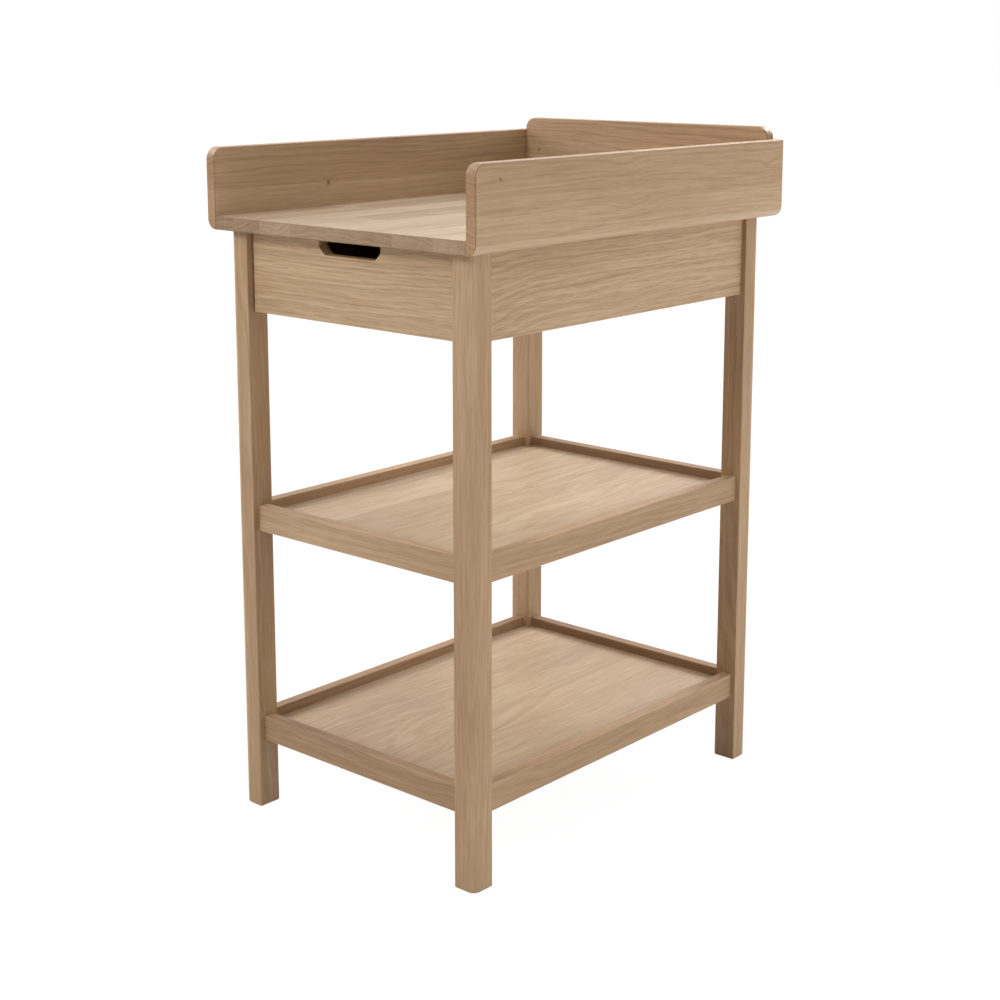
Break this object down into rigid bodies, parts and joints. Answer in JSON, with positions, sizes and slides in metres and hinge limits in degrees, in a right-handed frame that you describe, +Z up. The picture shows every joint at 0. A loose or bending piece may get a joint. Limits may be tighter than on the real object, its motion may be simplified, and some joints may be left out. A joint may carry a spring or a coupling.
{
  "type": "changing dresser",
  "caption": "Free-standing wooden changing dresser: a guarded changing tray on top, a shallow drawer with a grip notch on ball slides, and open shelves sunk in frames of rails.",
  "frame": {"origin": "On the floor, in the middle of the whole object's width and depth.", "axes": "+X to the right seen from the drawer's side, +Y from the drawer towards the rear guard, +Z up."},
  "size_m": [0.536, 0.726, 1.046],
  "materials": {
    "oak": "clear matt oil, open grain",
    "pale_wood": "planed, unfinished",
    "dowel_wood": "turned, unfinished",
    "zinc_steel": "bright zinc plate",
    "ball_steel": "polished",
    "rubber": "matt"
  },
  "bodies": {
    "stand": {"leg_front_left": "oak", "leg_front_right": "oak", "leg_rear_left": "oak", "leg_rear_right": "oak", "side_apron_left": "oak", "side_apron_right": "oak", "rear_apron": "oak", "changing_top": "oak", "guard_left": "oak", "guard_right": "oak", "guard_rear": "oak", "upper_shelf_front_rail": "oak", "upper_shelf_rear_rail": "oak", "upper_shelf_left_rail": "oak", "upper_shelf_right_rail": "oak", "upper_shelf_panel": "oak", "lower_shelf_front_rail": "oak", "lower_shelf_rear_rail": "oak", "lower_shelf_left_rail": "oak", "lower_shelf_right_rail": "oak", "lower_shelf_panel": "oak", "slide_spacer_left": "pale_wood", "slide_spacer_right": "pale_wood", "side_frame_dowels": "dowel_wood", "cross_frame_dowels": "dowel_wood", "guard_dowels": "dowel_wood", "slide_channel_left": "zinc_steel", "slide_channel_right": "zinc_steel", "top_brackets": "zinc_steel", "bracket_screws": "zinc_steel", "spacer_screws": "zinc_steel", "channel_screws": "zinc_steel", "slide_buffers": "rubber"},
    "drawer": {"drawer_front": "oak", "drawer_side_left": "pale_wood", "drawer_side_right": "pale_wood", "drawer_back": "pale_wood", "drawer_bottom": "pale_wood", "drawer_dowels": "dowel_wood", "slide_runner_left": "zinc_steel", "slide_runner_right": "zinc_steel", "runner_screws": "zinc_steel"},
    "cage_left": {"ball_cage_left": "zinc_steel", "slide_balls_left": "ball_steel"},
    "cage_right": {"ball_cage_right": "zinc_steel", "slide_balls_right": "ball_steel"}
  },
  "joints": [
    {"name": "drawer_slide", "type": "slide", "parent": "stand", "child": "drawer", "axis": [0, -1, 0], "range_m": [0, 0.365]},
    {"name": "cage_left_roll", "type": "slide", "parent": "stand", "child": "cage_left", "axis": [0, -1, 0], "range_m": [0, 0.1825]},
    {"name": "cage_right_roll", "type": "slide", "parent": "stand", "child": "cage_right", "axis": [0, -1, 0], "range_m": [0, 0.1825]}
  ],
  "couplings": [
    {"joint": "cage_left_roll", "follows": "drawer_slide", "ratio": 0.5},
    {"joint": "cage_right_roll", "follows": "drawer_slide", "ratio": 0.5}
  ]
}
